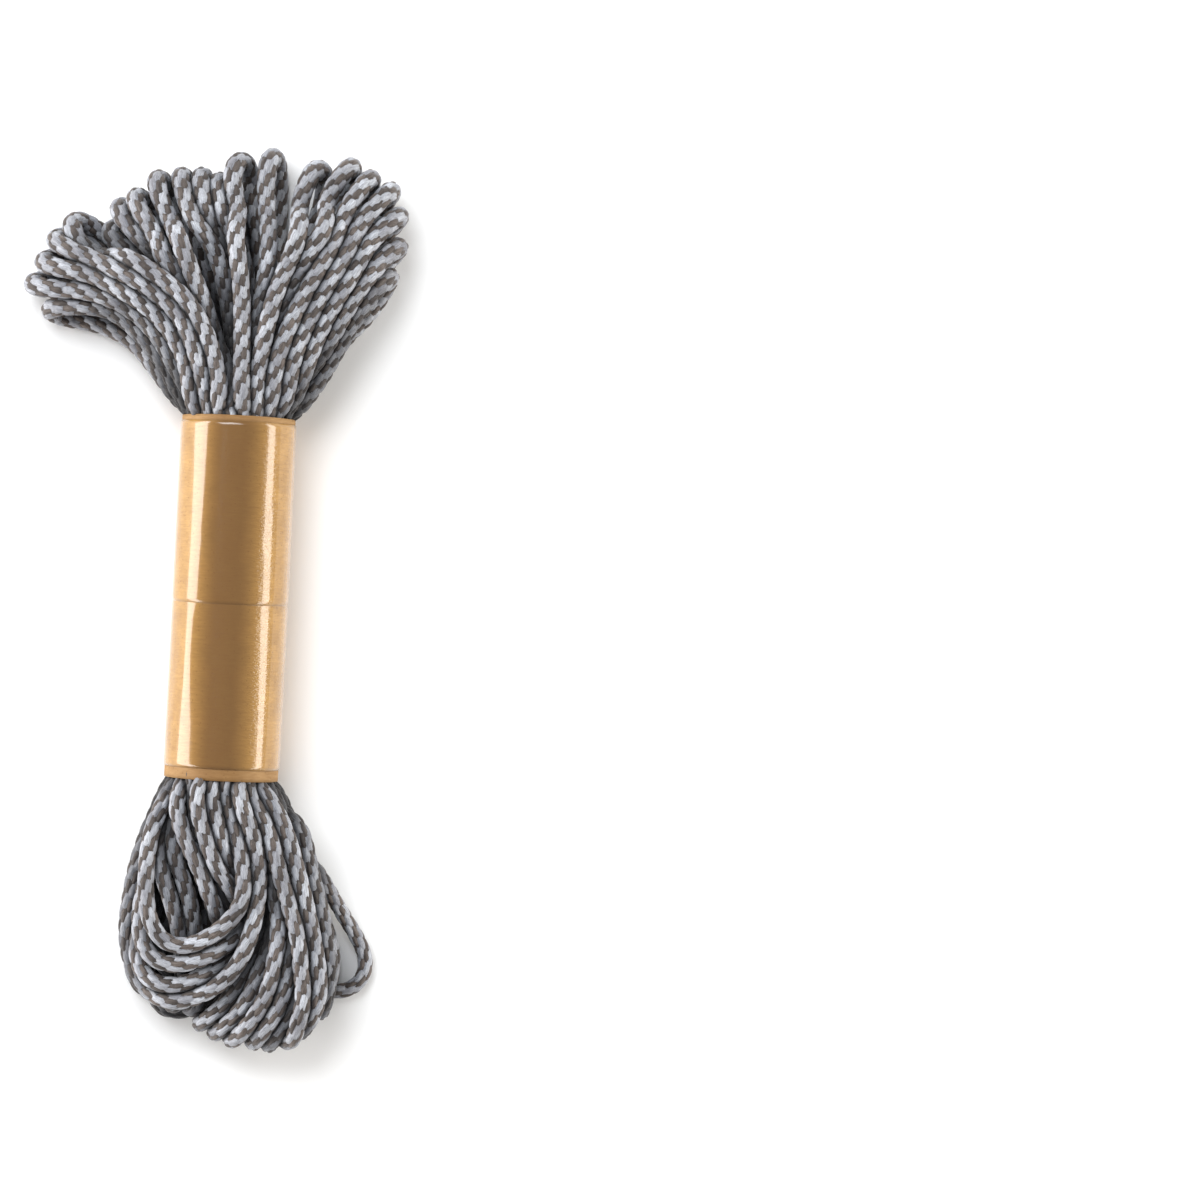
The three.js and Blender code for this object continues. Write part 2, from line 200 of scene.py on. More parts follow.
# The turns at the other end, between one loop of the fan and the next: a fold, or the points of a strand
# that lies on top or has slipped out. Pixels and heights are as above.
tail = [
    strand((163, 800, 7.6), (151, 832, 6.6), (141, 865, 6), (135, 900, 5.6), (131, 935, 5.6),
           (131, 960, 5.8), (137, 980, 6.2), (150, 994, 6.8), (168, 1000, 7.8), (188, 998, 9),
           (208, 991, 10.2), (226, 979, 11), (240, 962, 11.8), (251, 936, 12.2), (258, 905, 12.3),
           (260, 866, 12.3), (252, 824, 12.5), (246, 798, 12.7)),
    fold(158, 1009, 198, 11.6, 88, 1.3),
    strand((167, 800, 10.6), (157, 828, 11.2), (149, 858, 11.8), (147, 885, 12.2), (150, 910, 12.4),
           (158, 932, 12.4), (173, 945, 12.4), (191, 943, 12.5), (209, 935, 12.7), (224, 925, 12.8),
           (236, 914, 12.8), (242, 899, 12.6), (243, 879, 12.4), (240, 858, 12.4), (236, 838, 12.5),
           (234, 815, 12.6), (232, 795, 12.8)),
    fold(166, 983, 195, 8.6, 88, 1.3),
    strand((196, 800, 7.2), (174, 828, 6.2), (155, 860, 5.6), (141, 893, 5.4), (135, 925, 5.8),
           (135, 950, 6.6), (142, 968, 7.6), (154, 980, 8.6), (172, 984, 9.4), (196, 978, 10),
           (219, 965, 10), (236, 950, 9.4), (247, 935, 8.6), (249, 912, 8.6), (244, 892, 9.6),
           (236, 876, 11.2), (229, 858, 12.2), (223, 835, 12.6), (219, 808, 12.9)),
    fold(174, 1014, 198, 10.0, 88, 3.4),
    strand((194, 800, 9.2), (172, 828, 8.2), (155, 858, 7.8), (144, 890, 7.8), (140, 920, 8.2),
           (143, 942, 9.2), (153, 956, 10.4), (171, 963, 11.2), (192, 960, 11.5), (213, 951, 11.5),
           (231, 939, 11), (242, 926, 10), (243, 907, 10), (236, 894, 11.2), (227, 880, 12.2),
           (219, 862, 12.5), (213, 845, 12.6), (206, 826, 12.7), (204, 805, 12.8)),
    fold(170, 982, 195, 6.6, 88, 3.4),
    strand((182, 795, 11.9), (179, 813, 12.1), (181, 827, 12.2), (188, 839, 12.3), (197, 852, 12.3),
           (202, 868, 12.3), (207, 884, 12), (213, 898, 11.2), (219, 912, 10), (222, 930, 8.4),
           (222, 950, 6.8), (228, 968, 5.8), (240, 973, 5.6), (250, 962, 5.8), (251, 944, 6.6),
           (243, 924, 8), (233, 906, 9.6), (223, 890, 10.4), (213, 870, 10.8), (205, 848, 11.2),
           (199, 825, 11.8), (196, 800, 12.3)),
    fold(178, 1012, 185, 6, 15, 4.6, [
        (182, 795, 9.6), (170, 815, 10), (160, 838, 10.3), (161, 855, 10.5), (166, 880, 10.4),
        (174, 908, 9.6), (179, 930, 8.4), (182, 955, 7.4)]),
    fold(194, 1016, 186, 6, 15, 4.8, [
        (190, 795, 10.2), (178, 818, 10.3), (172, 838, 10.5), (176, 857, 10.6), (185, 880, 10.4),
        (191, 908, 9.4), (194, 930, 8.2), (196, 955, 7.4)]),
    fold(196, 1031, 226, 7, 10, 5, [
        (228, 800, 10.4), (240, 832, 9.8), (252, 868, 9.6), (256, 905, 9.6), (252, 940, 9.8),
        (241, 972, 10)]),
    fold(214, 1042, 220, 8, 10, 5.4, [
        (236, 800, 8.6), (250, 835, 8.2), (262, 870, 8.4), (268, 905, 9), (267, 940, 9.8),
        (258, 972, 10.4)]),
    fold(232, 1049, 215, 9.8, 10, 6.2, [
        (244, 800, 10.6), (258, 835, 10.4), (270, 870, 10.6), (278, 905, 11.2), (279, 940, 11.8),
        (272, 972, 12)]),
    fold(254, 1052, 211, 9.4, 10, 6.2, [
        (256, 800, 9.6), (270, 835, 9.4), (283, 870, 9.6), (291, 905, 10.2), (293, 940, 10.8),
        (288, 972, 11.2)]),
    fold(270, 1053, 207, 8.4, 8, 6, [
        (254, 800, 7.4), (272, 838, 7), (288, 875, 7.4), (298, 910, 8.2), (302, 945, 9.2),
        (299, 975, 10)]),
    fold(284, 1050, 204, 10.2, 10, 6.6, [
        (260, 800, 12.1), (268, 824, 12.3), (279, 866, 12.4), (291, 908, 12.4), (300, 945, 12.3),
        (300, 980, 12.1)]),
    fold(323, 1020, 188, 8.4, 8, 6, [
        (272, 800, 8), (292, 828, 8.2), (309, 866, 8.8), (320, 903, 9.4), (327, 940, 9.8)]),
    fold(303, 1041, 197, 10, 10, 6.4, [
        (272, 800, 11), (285, 824, 11.5), (297, 866, 11.8), (308, 908, 11.9), (315, 945, 11.8)]),
    # the slipped turn, in millimetres
    [(7.4, -28, 3.8), (8, -34, 2.8), (8.8, -41, 1.8), (10.4, -46.5, 1.4), (12.6, -50.3, 1.2),
     (15.3, -51.9, 1.15), (17.4, -51.9, 1.1), (19.3, -51, 1.1), (20, -49.2, 1.1), (19.4, -46.8, 1.3),
     (17.4, -43.1, 2.4), (15.2, -39.3, 4), (12.9, -36, 5.6), (10.3, -32, 7.4), (8.4, -28, 8.4)],
]


packing = {"rounds": 600, "drawnFor": 300, "draw": 0.02, "push": 0.35}


def packMouth(wanted):
    # The strands settle side by side in the oval of the band, near the places that are wanted at first.
    place = wanted.copy()
    reach = np.array([wrap["halfWidth"] - radius, wrap["halfDepth"] - radius])
    middle = np.array([0.0, wrap["middle"]])
    for turn in range(packing["rounds"]):
        if turn < packing["drawnFor"]:
            place += (wanted - place) * packing["draw"]
        apart = place[:, None] - place[None]
        far = np.linalg.norm(apart, axis=2) + np.eye(len(place)) * 99
        tight = np.clip(twine["diameter"] * twine["touching"] - far, 0, None)
        place += (apart / far[..., None] * tight[..., None]).sum(1) * packing["push"]
        inside = (place - middle) / reach
        place = inside / np.maximum(1, np.linalg.norm(inside, axis=1))[:, None] * reach + middle
    return place


def mouth(end, slot):
    return centre + axis * end * wrap["length"] / 2 + across * slot[0] + np.array([0, 0, slot[1]])


def bezier(a, b, c, e, count=60):
    t = np.linspace(0, 1, count)[:, None]
    return (1 - t) ** 3 * a + 3 * (1 - t) ** 2 * t * b + 3 * (1 - t) * t * t * c + t ** 3 * e


def through(points, count=16):
    # A smooth line through all the points.
    p = np.concatenate([[2 * points[0] - points[1]], points, [2 * points[-1] - points[-2]]])
    t = np.linspace(0, 1, count, endpoint=False)[:, None]
    line = [0.5 * (2 * b + (c - a) * t + (2 * a - 5 * b + 4 * c - e) * t * t
                   + (3 * b - a - 3 * c + e) * t ** 3)
            for a, b, c, e in zip(p[:-3], p[1:-2], p[2:-1], p[3:])]
    return np.concatenate([*line, points[-1:]])


def evenly(line, step):
    along = np.concatenate([[0], np.cumsum(np.linalg.norm(np.diff(line, axis=0), axis=1))])
    at = np.linspace(0, along[-1], max(3, round(along[-1] / step) + 1))
    return np.stack([np.interp(at, along, line[:, k]) for k in range(3)], axis=1)


def foldBetween(end, first, last, row, side):
    # A loop out of one slot of the mouth and into another. side: 1 if the first leg is the front one.
    ahead, half = headed(row["heading"]), row["width"] / 2
    left, roll = np.array([-ahead[1], ahead[0], 0]), math.radians(row["roll"])
    out = (math.cos(roll) * np.array([0, 0, 1.0]) + math.sin(roll) * left) * side
    low = radius + 0.1 + half * abs(out[2])
    tip = np.array([*placed(row["x"], row["y"]), max(row.get("middle", 0), low)])
    middle = tip - ahead * (half + radius)
    if row["front"]:
        middle -= left * half * math.sin(roll)  # the tip is where the front leg's line ends
    legs = []
    for slot, way in ((first, 1), (last, -1)):
        start, finish = mouth(end, slot), middle + out * half * way
        if row["front"] and way == side:
            line = [start, *strand(*row["front"]), finish - ahead * twine["ease"], finish]
            legs.append(through(np.array(line)))
            continue
        leave = headed(wrap["lean"] + (0 if end > 0 else 180) + end * twine["splay"] * slot[0])
        reach = np.linalg.norm(finish - start)
        legs.append(bezier(start, start + leave * reach * 0.3, finish - ahead * reach * 0.4, finish))
    t = np.linspace(0, math.pi, 40)[:, None]
    turn = middle + out * half * np.cos(t) + ahead * half * np.sin(t)
    return np.concatenate([legs[0][:-1], turn, legs[1][::-1][1:]])


stretches = ["inside", "fan", "tail", "slipped"]  # the order of the lists in the twine's values


def windTwine():
    # The whole route from end to end, and which stretch each point belongs to.
    front = np.array([[row["u"], row["z"]] for row in fan.values()])
    slots = packMouth(np.concatenate([front, front * [0.96, -1] + [0, 2 * wrap["middle"]]]))
    front, back = slots[:len(fan)], slots[len(fan):]
    runs, kinds = [], []

    def lay(line, kind, step=twine["step"]):
        line = evenly(line, step)[1 if runs else 0:]
        runs.append(line)
        kinds.append(np.full(len(line), stretches.index(kind)))

    rows = list(fan.values())
    legs = [(f, b) if row["up"] == "front" else (b, f) for row, f, b in zip(rows, front, back)]
    inBand = -axis * twine["tailEnd"]
    coarse = twine["stepInside"]
    lay(np.stack([mouth(1, legs[0][0]) + inBand, mouth(1, legs[0][0])]), "inside", coarse)
    for k, (row, (rise, fall)) in enumerate(zip(rows, legs)):
        lay(foldBetween(1, rise, fall, row, 1 if row["up"] == "front" else -1), "fan")
        if k == len(tail):
            lay(np.stack([mouth(1, fall), mouth(1, fall) + inBand]), "inside", coarse)
            break
        lay(np.stack([mouth(1, fall), mouth(-1, fall)]), "inside", coarse)
        turn, comes = tail[k], legs[k + 1][0]
        if isinstance(turn, dict):
            gap = across * (fall[0] - comes[0]) + np.array([0, 0, fall[1] - comes[1]])
            ahead, roll = headed(turn["heading"]), math.radians(turn["roll"])
            left = np.array([-ahead[1], ahead[0], 0])
            lift = math.cos(roll) * np.array([0, 0, 1.0]) + math.sin(roll) * left
            lay(foldBetween(-1, fall, comes, turn, 1 if gap @ lift > 0 else -1), "tail")
        else:
            kind = "slipped" if k == len(tail) - 1 else "tail"
            lay(through(np.array([mouth(-1, fall), *turn, mouth(-1, comes)])), kind)
        lay(np.stack([mouth(-1, comes), mouth(1, comes)]), "inside", coarse)
    return np.concatenate(runs), np.concatenate(kinds)


def nearPairs(x, reach):
    # Pairs of points that are near each other but not along the twine.
    found, sq = [], (x ** 2).sum(1)
    for a in range(0, len(x), 800):
        i, j = np.nonzero(sq[a:a + 800, None] + sq[None] - 2 * x[a:a + 800] @ x.T < reach * reach)
        ahead = j > i + a + 4
        found.append(np.stack([i[ahead] + a, j[ahead]]))
    return np.concatenate(found, axis=1)


settling = {
    "start": 0.5,  # share of the diameter that is kept clear at first
    "grow": 0.8,  # how fast that share rises to the whole
    "hold": 0.02,  # pull towards the drawn route, each round
    "holdLost": 0.85,
    "stiff": 0.3,
    "look": 12,  # rounds between two searches for neighbours
    "near": 1.35,  # diameters
    "push": 1.3,
    "floor": 1.2,  # lowest place of a strand's middle, in radii
}


def settle(x, kinds, rounds):
    # Lets the twine find its place: it keeps its length, bends softly, and strands push each other apart.
    free = (kinds > 0) & (np.roll(kinds, 1) > 0) & (np.roll(kinds, -1) > 0)
    guess, loose, total = x.copy(), free.astype(float), len(x)
    rest = np.linalg.norm(np.diff(x, axis=0), axis=1)
    for turn in range(rounds):
        done = turn / rounds
        reach = twine["diameter"] * min(1.0, settling["start"] + settling["grow"] * done) * twine["touching"]
        x[free] += (guess[free] - x[free]) * settling["hold"] * (1 - settling["holdLost"] * done)
        bend = np.zeros_like(x)
        bend[1:-1] = (x[:-2] + x[2:]) / 2 - x[1:-1]
        bend[1:-1] -= (bend[:-2] + bend[2:]) / 2
        x[free] += bend[free] * settling["stiff"]
        for first in (0, 1, 0, 1):
            a = np.arange(first, total - 1, 2)
            apart = x[a + 1] - x[a]
            far = np.linalg.norm(apart, axis=1)
            pull = ((far - rest[a]) / far / np.maximum(loose[a] + loose[a + 1], 1e-9))[:, None] * apart
            x[a] += pull * loose[a][:, None]
            x[a + 1] -= pull * loose[a + 1][:, None]
        if turn % settling["look"] == 0:
            i, j = nearPairs(x, twine["diameter"] * settling["near"])
            i, j = i[free[i] | free[j]], j[free[i] | free[j]]
        apart = x[i] - x[j]
        far = np.linalg.norm(apart, axis=1)
        hit = far < reach
        a, b = i[hit], j[hit]
        share = np.maximum(loose[a] + loose[b], 1e-9)
        push = apart[hit] * ((reach - far[hit]) / np.maximum(far[hit], 1e-6) / share)[:, None]
        move = np.stack([np.bincount(a, push[:, k] * loose[a], total)
                         - np.bincount(b, push[:, k] * loose[b], total) for k in range(3)], axis=1)
        count = np.bincount(a, minlength=total) + np.bincount(b, minlength=total)
        x += move / np.maximum(count, 1)[:, None] * settling["push"]
        x[free, 2] = np.maximum(x[free, 2], radius * settling["floor"])
    return x


def openness(x):
    # How much light reaches each point past the strands above it, from 0 to 1; the twine's colour takes
    # painted shade from it.
    i, j = nearPairs(x, twine["shade"])
    apart = x[j] - x[i]
    far = np.linalg.norm(apart, axis=1)
    cover = twine["diameter"] * twine["step"] * np.abs(apart[:, 2]) / far ** 3 / math.pi
    above = apart[:, 2] > 0
    covered = np.bincount(i, cover * above, len(x)) + np.bincount(j, cover * ~above, len(x))
    return np.exp(-twine["dimming"] * np.clip(covered - twine["spared"], 0, None))


def ringsAlong(x, kinds):
    # The places of the rings and, for each of them, whether the band hides it, its place among the settled
    # points, how thick the twine is, how open it lies and how far along the braid it is.
    between, turned = 8, 2.5  # points from one settled point to the next; reach of the test for a bend
    line = through(x, between)
    along = np.concatenate([[0], np.cumsum(np.linalg.norm(np.diff(line, axis=0), axis=1))])
    depth = np.abs((line - centre) @ axis)
    beside = np.abs((line - centre) @ across)
    hidden = (depth < wrap["length"] / 2 - twine["hiddenFrom"]) & (beside < wrap["halfWidth"])
    each = np.where(hidden, twine["coarse"], twine["fine"])
    number = np.concatenate([[0], np.cumsum(np.diff(along) / ((each[1:] + each[:-1]) / 2))])
    at = np.interp(np.arange(0, number[-1]), number, along)
    rings = np.stack([np.interp(at, along, line[:, k]) for k in range(3)], axis=1)
    hidden = np.interp(at, along, hidden.astype(float)) > 0.5
    way = np.gradient(line, axis=0)
    way /= np.linalg.norm(way, axis=1)[:, None]
    before, after = (np.stack([np.interp(along + d, along, way[:, k]) for k in range(3)], 1)
                     for d in (-turned, turned))
    bend = np.clip(1 - (before * after).sum(1), 0, 1)
    index = np.arange(len(line)) / between
    thick, swollen, drawn = (np.interp(index, np.arange(len(x)), np.array(twine[name])[kinds])
                             for name in ("thick", "atFolds", "drawn"))
    thick += bend * swollen
    wide = round(twine["blend"] / np.median(np.diff(along)))
    thick = np.convolve(np.pad(thick, wide, "edge"), np.ones(2 * wide + 1) / (2 * wide + 1), "valid")
    light = np.interp(index, np.arange(len(x)), openness(x))
    braided = np.concatenate([[0], np.cumsum(np.diff(along) / (drawn * twine["diameter"])[1:])])
    rows = {"index": index, "plump": thick, "open": light, "along": braided}
    return rings, hidden, {name: np.interp(at, along, values) for name, values in rows.items()}


def creases(surface, index, x):
    # 0 where a strand's surface touches the strand beside it, 1 where it is clear of all others; low values
    # paint shade into the colour.
    line = through(x, 2)
    centres = surface.mean(1)
    reach = 2.1 * twine["diameter"]
    found = np.full(surface.shape[:2], 2 * reach)
    for a in range(0, len(surface), 500):
        near = centres[a:a + 500]
        far = (near ** 2).sum(1)[:, None] + (line ** 2).sum(1)[None] - 2 * near @ line.T
        other = np.abs(index[a:a + 500, None] - np.arange(len(line))[None] / 2) > 4
        i, j = np.nonzero((far < reach ** 2) & other)
        if len(i):
            each = np.linalg.norm(surface[a + i] - line[j][:, None], axis=2)
            first = np.nonzero(np.diff(i, prepend=-1))[0]
            found[a + i[first]] = np.minimum.reduceat(each, first)
    return np.clip((found - radius * 1.03) / (twine["crease"] * twine["diameter"]), 0, 1)


class Wire:  # one socket, with the arithmetic that the node maths below uses
    def __init__(self, board, socket):
        self.board, self.socket = board, socket

    def __add__(self, other):
        return self.board.sum("ADD", self, other)

    def __radd__(self, other):
        return self.board.sum("ADD", other, self)

    def __sub__(self, other):
        return self.board.sum("SUBTRACT", self, other)

    def __rsub__(self, other):
        return self.board.sum("SUBTRACT", other, self)

    def __mul__(self, other):
        return self.board.sum("MULTIPLY", self, other)

    def __rmul__(self, other):
        return self.board.sum("MULTIPLY", other, self)

    def __truediv__(self, other):
        return self.board.sum("DIVIDE", self, other)

    def __lt__(self, other):
        return self.board.sum("LESS_THAN", self, other)

    def __gt__(self, other):
        return self.board.sum("GREATER_THAN", self, other)


class Board:  # a node tree and the one way that nodes are put on it
    def __init__(self, tree):
        self.tree = tree
        tree.nodes.clear()

    def put(self, kind, settings=None, values=None):
        node = self.tree.nodes.new(kind)
        for name, value in (settings or {}).items():
            if name == "stops":
                for k, (place, colour) in enumerate(value):
                    stop = node.color_ramp.elements[k] if k < 2 else node.color_ramp.elements.new(place)
                    stop.position, stop.color = place, colour
            else:
                setattr(node, name, value)
        for name, value in (values or {}).items():
            if isinstance(value, Wire):
                self.tree.links.new(value.socket, node.inputs[name])
            else:
                node.inputs[name].default_value = value
        return node

    def out(self, node, name=0):
        return Wire(self, node.outputs[name])

    def sum(self, operation, *values):
        node = self.put("ShaderNodeMath", {"operation": operation}, dict(enumerate(values)))
        return self.out(node)

    def mix(self, factor, a, b):  # colours
        node = self.put("ShaderNodeMix", {"data_type": "RGBA"}, {0: factor, 6: a, 7: b})
        return self.out(node, 2)


def srgb(r, g, b):
    linear = [v / 255 / 12.92 if v < 10.3 else ((v / 255 + 0.055) / 1.055) ** 2.4 for v in (r, g, b)]
    return (*linear, 1.0)


braid = {
    "columns": 8,
    "pitch": 0.77,  # diameters between stitches in a column
    "rise": 6 / 8,  # how many stitches the next column is ahead: eight of them make six stitches
    "lean": 0.3,  # how far a stitch slopes across its column
    "size": 0.6,  # from its middle to its edge
    "paleFirst": 0.7,  # how much a pale stitch spreads over a dark one
    "ragged": 0.2,
    "relief": 0.2,  # height of the stitches in radii
    "pale": (srgb(126, 127, 134), srgb(202, 206, 214)),
    "dark": (srgb(60, 52, 48), srgb(112, 101, 94)),
    "paleFibre": srgb(72, 68, 72),
    "darkFibre": srgb(32, 26, 26),
    # gap: a near-black painted shade colour for the hollows between stitches and under and between strands
    "gap": srgb(14, 11, 13),
}


def stitches(board, turn, along):
    # turn: 0 to 1 round the twine. Returns how far a point is from the middle of its stitch, from 0 to about
    # 1.2, the stitch's row and column, the place across and along it, and whether it is a dark one.
    around = turn * braid["columns"]
    found = []
    for step in (0, 1):
        column = board.sum("FLOOR", around) + step
        place = along / braid["pitch"] - column * braid["rise"]
        row = board.sum("ROUND", place)
        v = place - row
        u = around - column - v * braid["lean"]
        odd = board.sum("FLOORED_MODULO", row, 2.0)
        found.append(((u * u + v * v) * (1.0 + odd * braid["paleFirst"]), row, column, u, v, odd))
    pick = found[0][0] < found[1][0]
    chosen = [b + (a - b) * pick for a, b in zip(*found)]
    chosen[0] = chosen[0] / (braid["size"] ** 2)
    return chosen


def pillow(board, far):
    return board.sum("SQRT", board.sum("MAXIMUM", 1.15 - far, 0.0))


def twineTree(material):
    # Sweeps a ring along the route and raises the stitches of the braid on it.
    tree = bpy.data.node_groups.new("braidedTwine", "GeometryNodeTree")
    board = Board(tree)
    for name, kind in (("Route", "NodeSocketGeometry"), ("Diameter", "NodeSocketFloat"),
                       ("Sides", "NodeSocketInt"), ("Relief", "NodeSocketFloat"),
                       ("Material", "NodeSocketMaterial")):
        tree.interface.new_socket(name, in_out="INPUT", socket_type=kind)
    tree.interface.new_socket("Twine", in_out="OUTPUT", socket_type="NodeSocketGeometry")
    given = board.put("NodeGroupInput")
    line = board.put("GeometryNodeMeshToCurve", None, {"Mesh": board.out(given, "Route")})
    line = board.put("GeometryNodeSetCurveNormal", {"mode": "MINIMUM_TWIST"}, {"Curve": board.out(line)})
    half = board.out(given, "Diameter") * 0.5
    ring = board.put("GeometryNodeCurvePrimitiveCircle", None,
                     {"Resolution": board.out(given, "Sides"), "Radius": half})
    share = board.put("GeometryNodeSplineParameter")
    ring = board.put("GeometryNodeStoreNamedAttribute", {"data_type": "FLOAT", "domain": "POINT"},
                     {"Geometry": board.out(ring), "Name": "turn", "Value": board.out(share)})
    plump = board.put("GeometryNodeInputNamedAttribute", {"data_type": "FLOAT"}, {"Name": "plump"})
    tube = board.put("GeometryNodeCurveToMesh", None,
                     {"Curve": board.out(line), "Profile Curve": board.out(ring),
                      "Scale": board.out(plump), "Fill Caps": True})
    turn = board.put("GeometryNodeInputNamedAttribute", {"data_type": "FLOAT"}, {"Name": "turn"})
    along = board.put("GeometryNodeInputNamedAttribute", {"data_type": "FLOAT"}, {"Name": "along"})
    turn, along = board.out(turn), board.out(along)
    raised = (pillow(board, stitches(board, turn, along)[0]) - 0.8) * half * board.out(given, "Relief")
    normal = board.out(board.put("GeometryNodeInputNormal"))
    offset = board.put("ShaderNodeVectorMath", {"operation": "SCALE"}, {0: normal, "Scale": raised})
    angle = turn * (2 * math.pi)
    lay = board.put("ShaderNodeCombineXYZ", None,
                    {0: board.sum("COSINE", angle), 1: board.sum("SINE", angle), 2: along})
    kept = board.put("GeometryNodeStoreNamedAttribute", {"data_type": "FLOAT_VECTOR", "domain": "POINT"},
                     {"Geometry": board.out(tube), "Name": "lay", "Value": board.out(lay)})
    moved = board.put("GeometryNodeSetPosition", None,
                      {"Geometry": board.out(kept), "Offset": board.out(offset)})
    smooth = board.put("GeometryNodeSetShadeSmooth", {"domain": "FACE"}, {"Geometry": board.out(moved)})
    real = board.put("GeometryNodeRealizeInstances", None, {"Geometry": board.out(smooth)})
    worn = board.put("GeometryNodeSetMaterial", None,
                     {"Geometry": board.out(real), "Material": board.out(given, "Material")})
    board.put("NodeGroupOutput", None, {"Twine": board.out(worn)})
    return tree


def newMaterial(name):
    material = bpy.data.materials.new(name)
    material.use_nodes = True
    return material, Board(material.node_tree)


def twineMaterial():
    material, board = newMaterial("braidedCotton")
    lay = board.put("ShaderNodeAttribute", {"attribute_name": "lay"})
    parts = board.put("ShaderNodeSeparateXYZ", None, {0: board.out(lay, "Vector")})
    along = board.out(parts, 2)
    turn = board.sum("ARCTAN2", board.out(parts, 1), board.out(parts, 0)) / (2 * math.pi)
    uneven = board.put("ShaderNodeTexNoise", {"noise_dimensions": "3D"},
                       {"Vector": board.out(lay, "Vector"), "Scale": 2.6, "Detail": 2.0})
    apart = board.put("ShaderNodeSeparateColor", None, {0: board.out(uneven, "Color")})
    turn = turn + (board.out(apart, 0) - 0.5) * (braid["ragged"] / 3)
    along = along + (board.out(apart, 1) - 0.5) * (braid["ragged"] * 2)
    far, row, column, u, v, odd = stitches(board, turn, along)
    # a stitch that crosses the seam of the ring keeps its number
    lap = board.sum("FLOOR", column / braid["columns"] + 0.001)
    own = column - lap * braid["columns"]
    count = row + lap * round(braid["columns"] * braid["rise"])
    odd = odd > 0.5
    key = board.put("ShaderNodeCombineXYZ", None,
                    {0: board.sum("ROUND", own), 1: board.sum("ROUND", count), 2: 3.0})
    noise = board.put("ShaderNodeTexWhiteNoise", {"noise_dimensions": "3D"}, {"Vector": board.out(key)})
    each = board.out(noise, "Value")
    # fibres run along each stitch
    fine = board.put("ShaderNodeCombineXYZ", None, {0: u * 8.0 + each * 40, 1: v * 1.6, 2: each * 17})
    fibre = board.put("ShaderNodeTexNoise", {"noise_dimensions": "3D"},
                      {"Vector": board.out(fine), "Scale": 1.2, "Detail": 3.0, "Roughness": 0.7})
    fibre = board.out(fibre)
    slow = board.put("ShaderNodeTexNoise", {"noise_dimensions": "1D"},
                     {"W": along, "Scale": 0.35, "Detail": 2.0})
    tone = board.sum("MINIMUM", board.sum("MAXIMUM", each * 0.7 + board.out(slow) * 1.2 - 0.4, 0.0), 1.0)
    colour = board.mix(odd, board.mix(tone, *braid["pale"]), board.mix(tone, *braid["dark"]))
    streak = board.put("ShaderNodeMapRange", None, {"Value": fibre, "From Min": 0.3, "From Max": 0.66,
                                                    "To Min": 0.75, "To Max": 0.0})
    colour = board.mix(board.out(streak), colour, board.mix(odd, braid["paleFibre"], braid["darkFibre"]))
    # painted shade: the rim of each stitch darkens towards the painted shade colour, twice as much on dark
    # stitches
    edge = board.put("ShaderNodeMapRange", {"interpolation_type": "SMOOTHSTEP"},
                     {"Value": far, "From Min": 0.3, "From Max": 1.3, "To Min": 0.0, "To Max": 0.14})
    colour = board.mix(board.out(edge) * (1.0 + odd), colour, braid["gap"])
    # painted shade: strands lying under others, and surfaces where two strands touch, darken towards the
    # shade colour
    lit = board.out(board.put("ShaderNodeAttribute", {"attribute_name": "open"}), "Fac")
    clear = board.out(board.put("ShaderNodeAttribute", {"attribute_name": "clear"}), "Fac")
    paintedShadeUnder = board.put("ShaderNodeMapRange", None, {"Value": lit, "From Min": 0.12, "From Max": 0.9,
                                                    "To Min": 0.97, "To Max": 0.0})
    paintedCreaseShade = board.put("ShaderNodeMapRange", {"interpolation_type": "SMOOTHSTEP"},
                        {"Value": clear, "To Min": 0.96, "To Max": 0.0})
    shade = board.sum("MAXIMUM", board.out(paintedShadeUnder), board.out(paintedCreaseShade))
    colour = board.mix(shade, colour, braid["gap"])
    height = pillow(board, far) * 0.5 + fibre * 0.35
    bump = board.put("ShaderNodeBump", None, {"Height": height, "Distance": 0.00022, "Strength": 0.8})
    shine = board.put("ShaderNodeMapRange", None, {"Value": fibre, "From Min": 0.3, "From Max": 0.7,
                                                   "To Min": 0.72, "To Max": 0.42})
    shader = board.put("ShaderNodeBsdfPrincipled", None,
                       {"Base Color": colour, "Roughness": board.out(shine), "Normal": board.out(bump),
                        "Sheen Weight": 0.12, "Sheen Roughness": 0.5, "Specular IOR Level": 0.4})
    board.put("ShaderNodeOutputMaterial", None, {"Surface": board.out(shader)})
    return material


